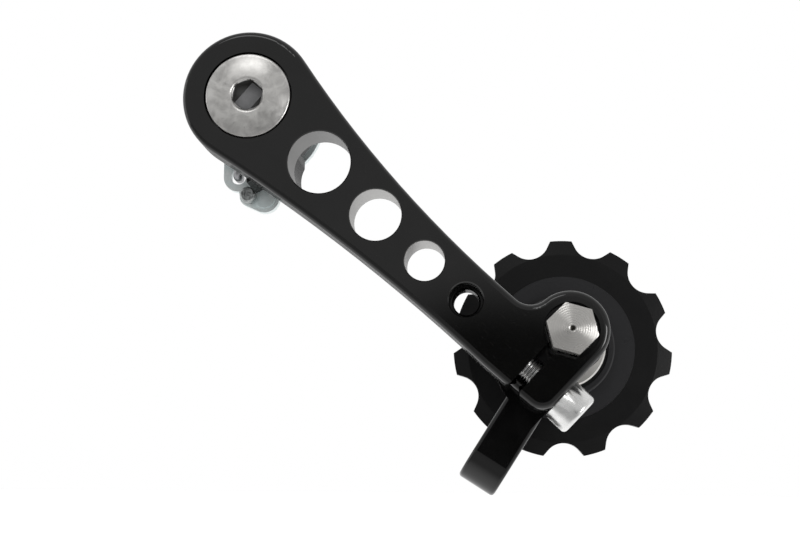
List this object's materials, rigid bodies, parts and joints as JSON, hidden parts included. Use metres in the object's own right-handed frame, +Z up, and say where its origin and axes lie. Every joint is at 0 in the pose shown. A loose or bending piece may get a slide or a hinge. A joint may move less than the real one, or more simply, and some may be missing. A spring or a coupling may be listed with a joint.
{
  "type": "bicycle chain tensioner",
  "caption": "Sprung single-speed chain tensioner: drilled arm on a hanger bolt, split clamp, sliding axle, toothed pulley on a ball bearing and a bent chain guide.",
  "frame": {"origin": "on the mounting bolt's axis, in the plane where its shoulder meets the hanger's outer face", "axes": "+Y runs along the mounting bolt away from the viewer, towards the bicycle's middle; +X is the picture's right; +Z is up"},
  "size_m": [0.0912, 0.0501, 0.0829],
  "materials": {
    "polished_steel": "polished steel with fine turning marks",
    "spring_steel": "drawn spring steel",
    "zinc_plate": "bright zinc plating with a cool tint",
    "zinc_pin": "zinc-plated pin with a sheared face",
    "black_arm": "black anodised aluminium, satin, machined bores left bare",
    "bush_plastic": "plain bearing plastic",
    "silver_screw": "bright plated cap screw",
    "black_guide": "glossy black coated steel",
    "black_screw": "black oxide button screw",
    "turned_steel": "fine turned steel",
    "turned_hex": "turned face with concentric tool marks, plain flats",
    "bearing_steel": "ground bearing steel",
    "black_pulley": "matt black moulded nylon",
    "bearing_shield": "pressed sheet steel"
  },
  "bodies": {
    "mount": {"mounting_bolt": "polished_steel", "retaining_ring": "spring_steel", "stop_plate": "zinc_plate", "arm_stop_pin": "zinc_pin", "hanger_pin": "zinc_pin", "torsion_spring": "spring_steel"},
    "arm": {"arm": "black_arm", "pivot_bush_front": "bush_plastic", "pivot_bush_rear": "bush_plastic", "pinch_screw": "silver_screw", "chain_guide": "black_guide", "guide_screw": "black_screw"},
    "axle": {"axle_sleeve": "turned_steel", "axle_bolt": "turned_hex", "rear_cap": "turned_steel", "axle_nut": "zinc_plate", "bearing_inner_race": "bearing_steel"},
    "wheel": {"pulley_wheel": "black_pulley", "bearing_outer_race": "bearing_steel", "bearing_shield_front": "bearing_shield", "bearing_shield_rear": "bearing_shield"},
    "rollers": {"bearing_balls": "bearing_steel", "bearing_cage": "bearing_shield"}
  },
  "joints": [
    {"name": "arm_swing", "type": "hinge", "parent": "mount", "child": "arm", "pos_m": [0, -0.012, 0], "axis": [0, -1, 0], "range_deg": [0, 75], "stiffness_Nm_per_rad": 0.3, "springref_deg": -57.3, "deforming": ["torsion_spring"]},
    {"name": "axle_slide", "type": "slide", "parent": "arm", "child": "axle", "axis": [0, -1, 0], "range_m": [0, 0.015]},
    {"name": "wheel_spin", "type": "hinge", "parent": "axle", "child": "wheel", "pos_m": [0.05768, 0.01375, -0.0423], "axis": [0, -1, 0], "continuous": true},
    {"name": "ball_orbit", "type": "hinge", "parent": "axle", "child": "rollers", "pos_m": [0.05768, 0.01375, -0.0423], "axis": [0, -1, 0], "continuous": true}
  ],
  "couplings": [
    {"joint": "ball_orbit", "follows": "wheel_spin", "ratio": 0.6324}
  ]
}
